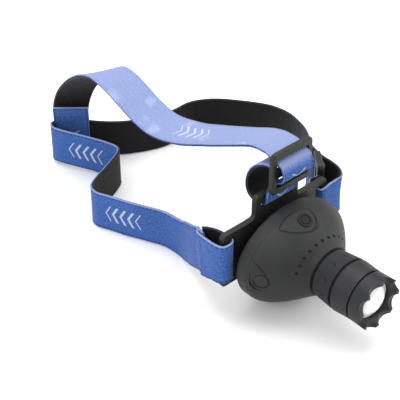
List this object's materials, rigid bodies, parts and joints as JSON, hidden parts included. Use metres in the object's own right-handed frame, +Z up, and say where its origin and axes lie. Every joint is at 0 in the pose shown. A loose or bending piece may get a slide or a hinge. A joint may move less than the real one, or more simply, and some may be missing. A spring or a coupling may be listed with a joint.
{
  "type": "headlamp",
  "caption": "Zooming headlamp: an oval tilting battery housing on a slotted bracket with pad, a toothed zoom head, and elastic head and top straps.",
  "frame": {"origin": "on the rear face of the forehead pad, level with the beam axis", "axes": "+Z up, the beam shines along -Y, +X is the wearer's left"},
  "size_m": [0.1312, 0.2568, 0.0906],
  "materials": {
    "soft_black": "soft-touch matt",
    "head_black": "satin",
    "bracket_plastic": "satin",
    "button_rubber": "matt",
    "seal_rubber": "matt",
    "pad_foam": "matt foam",
    "webbing": "woven elastic webbing",
    "steel": "brushed",
    "aluminium": "machined",
    "cell_wrap": "printed wrap",
    "tray_plastic": "moulded",
    "board": "solder mask",
    "component": "moulded",
    "lens_clear": "polished",
    "led_body": "phosphor"
  },
  "bodies": {
    "bracket": {"bracket_plate": "bracket_plastic", "forehead_pad": "pad_foam", "tilt_pin": "steel", "ratchet_spring": "steel", "strap_slider": "bracket_plastic", "strap_adjuster": "bracket_plastic", "head_strap_loop_right": "webbing", "head_strap_right": "webbing", "head_strap_fold": "webbing", "head_strap_rear": "webbing", "head_strap_left": "webbing", "head_strap_loop_left": "webbing", "top_strap_loop": "webbing", "top_strap_front": "webbing", "top_strap_arch": "webbing", "top_strap_rear": "webbing"},
    "rear_housing": {"rear_shell": "soft_black", "housing_seal": "seal_rubber", "cover_pin": "steel", "battery_tray": "tray_plastic", "battery_1": "cell_wrap", "battery_2": "cell_wrap", "battery_3": "cell_wrap", "contact_plate_left": "steel", "contact_plate_right": "steel", "contact_spring_1": "steel", "contact_spring_2": "steel", "contact_spring_3": "steel"},
    "front_housing": {"front_shell": "soft_black", "tact_switch": "component", "switch_board": "board", "barrel": "aluminium", "barrel_seal": "seal_rubber", "stop_ring": "steel", "driver_board": "board", "driver_chip": "component", "driver_coil": "component", "heat_sink": "aluminium", "led_board": "board", "led": "led_body"},
    "switch": {"switch_button": "button_rubber"},
    "zoom_head": {"zoom_sleeve": "head_black", "zoom_grip": "soft_black", "bezel": "head_black", "lens": "lens_clear", "lens_seal": "seal_rubber"}
  },
  "joints": [
    {"name": "tilt", "type": "hinge", "parent": "bracket", "child": "rear_housing", "pos_m": [0, -0.011, -0.0245], "axis": [1, 0, 0], "range_deg": [0, 60]},
    {"name": "cover_opening", "type": "hinge", "parent": "rear_housing", "child": "front_housing", "pos_m": [0, -0.019, -0.0291], "axis": [1, 0, 0], "range_deg": [0, 90]},
    {"name": "zoom", "type": "slide", "parent": "front_housing", "child": "zoom_head", "axis": [0, -1, 0], "range_m": [0, 0.007]},
    {"name": "switch_press", "type": "slide", "parent": "front_housing", "child": "switch", "axis": [0, 0.5, -0.866], "range_m": [0, 0.0008], "stiffness_N_per_m": 400, "springref_m": -0.001}
  ]
}
